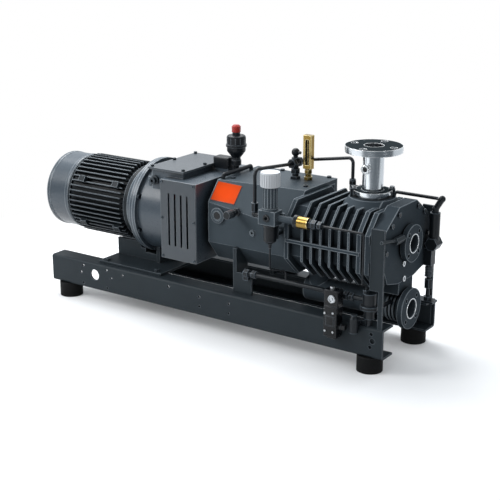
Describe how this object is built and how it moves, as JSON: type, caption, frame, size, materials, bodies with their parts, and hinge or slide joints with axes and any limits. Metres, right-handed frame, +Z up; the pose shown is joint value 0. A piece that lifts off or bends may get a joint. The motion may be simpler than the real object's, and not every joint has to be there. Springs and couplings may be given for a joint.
{
  "type": "dry screw vacuum pump",
  "caption": "Motor-driven dry screw vacuum pump on a steel base frame, with a finned cylinder, a flanged inlet on top and an exhaust flange at one end.",
  "frame": {"origin": "on the floor, at the middle of the whole pump's box", "axes": "+X along the shaft, from the motor to the ports; +Y towards the rear; +Z up, out of the inlet"},
  "size_m": [1.347, 0.3938, 0.608],
  "materials": {
    "frame_paint": "satin anthracite powder coat",
    "motor_paint": "satin grey paint",
    "pump_paint": "satin anthracite paint on cast iron",
    "cover_paint": "satin grey paint on sheet",
    "machined_steel": "turned and ground steel",
    "bright_steel": "bright turned stainless steel",
    "black_steel": "blackened steel",
    "brass": "polished brass",
    "rubber": "black rubber",
    "star": "elastic polyurethane",
    "black_plastic": "black moulded plastic",
    "white_plastic": "white moulded plastic",
    "red_plastic": "red moulded plastic",
    "orange_paint": "orange painted aluminium sheet"
  },
  "bodies": {
    "pump_set": {"bearing_carrier": "pump_paint", "breather_body": "black_plastic", "check_valve": "brass", "coupling_housing": "pump_paint", "drain_fitting": "black_plastic", "drain_line": "black_steel", "end_casting": "pump_paint", "end_posts": "frame_paint", "exhaust_duct": "pump_paint", "fan_cover": "motor_paint", "frame_bolts": "black_steel", "front_rail": "frame_paint", "gear_casing": "pump_paint", "gear_cover": "pump_paint", "gear_gussets": "frame_paint", "housing_bolts": "black_steel", "inlet_clamps": "black_steel", "inlet_pipe": "bright_steel", "inlet_ring": "bright_steel", "input_bearings": "machined_steel", "motor_bearings": "machined_steel", "motor_flange": "motor_paint", "motor_housing": "motor_paint", "motor_plate": "frame_paint", "motor_rear_shield": "motor_paint", "nameplate": "orange_paint", "pressure_switch": "black_plastic", "purge_line": "black_steel", "rear_rail": "frame_paint", "regulator_body": "black_plastic", "regulator_bowl": "black_plastic", "rigid_pipes": "black_steel", "rotor_bearings": "machined_steel", "rubber_feet": "rubber", "screw_cylinder": "pump_paint", "shutoff_valve": "black_steel", "sight_glass": "black_plastic", "stator": "machined_steel", "terminal_box": "motor_paint", "terminal_lid": "motor_paint", "thermometer": "brass", "top_cover": "cover_paint", "vent_covers": "cover_paint", "water_valve": "black_steel"},
    "drive_rotor": {"motor_rotor": "machined_steel", "cooling_fan": "black_plastic", "motor_coupling_half": "machined_steel", "coupling_star": "star", "pump_coupling_half": "machined_steel", "input_shaft": "machined_steel", "drive_gear": "machined_steel"},
    "rotor_drive": {"screw_rotor_drive": "machined_steel", "pinion": "machined_steel", "timing_gear_drive": "machined_steel"},
    "rotor_driven": {"screw_rotor_driven": "machined_steel", "timing_gear_driven": "machined_steel"},
    "pressure_knob": {"regulator_knob": "white_plastic"},
    "valve_handle": {"valve_knob": "black_plastic"},
    "vent_cap": {"breather_cap": "red_plastic"},
    "oil_drain_cap": {"drain_cap": "black_plastic"}
  },
  "joints": [
    {"name": "motor_spin", "type": "hinge", "parent": "pump_set", "child": "drive_rotor", "pos_m": [0.0185, 0.00465, 0.3244], "axis": [1, 0, 0], "continuous": true},
    {"name": "rotor_drive_spin", "type": "hinge", "parent": "pump_set", "child": "rotor_drive", "pos_m": [0.3185, -0.0441, 0.33551], "axis": [1, 0, 0], "continuous": true},
    {"name": "rotor_driven_spin", "type": "hinge", "parent": "pump_set", "child": "rotor_driven", "pos_m": [0.3185, 0.0534, 0.33551], "axis": [1, 0, 0], "continuous": true},
    {"name": "pressure_knob_turn", "type": "hinge", "parent": "pump_set", "child": "pressure_knob", "pos_m": [0.271, -0.16735, 0.494], "axis": [0, 0, 1], "range_deg": [0, 1080]},
    {"name": "valve_handle_turn", "type": "hinge", "parent": "pump_set", "child": "valve_handle", "pos_m": [0.2005, 0.07665, 0.539], "axis": [0, 0, 1], "range_deg": [0, 90]},
    {"name": "vent_cap_lift", "type": "slide", "parent": "pump_set", "child": "vent_cap", "axis": [0, 0, 1], "range_m": [0, 0.03]},
    {"name": "oil_drain_cap_pull", "type": "slide", "parent": "pump_set", "child": "oil_drain_cap", "axis": [0, -1, 0], "range_m": [0, 0.03]}
  ],
  "couplings": [
    {"joint": "rotor_drive_spin", "follows": "motor_spin", "ratio": -1.5},
    {"joint": "rotor_driven_spin", "follows": "motor_spin", "ratio": 1.5}
  ]
}
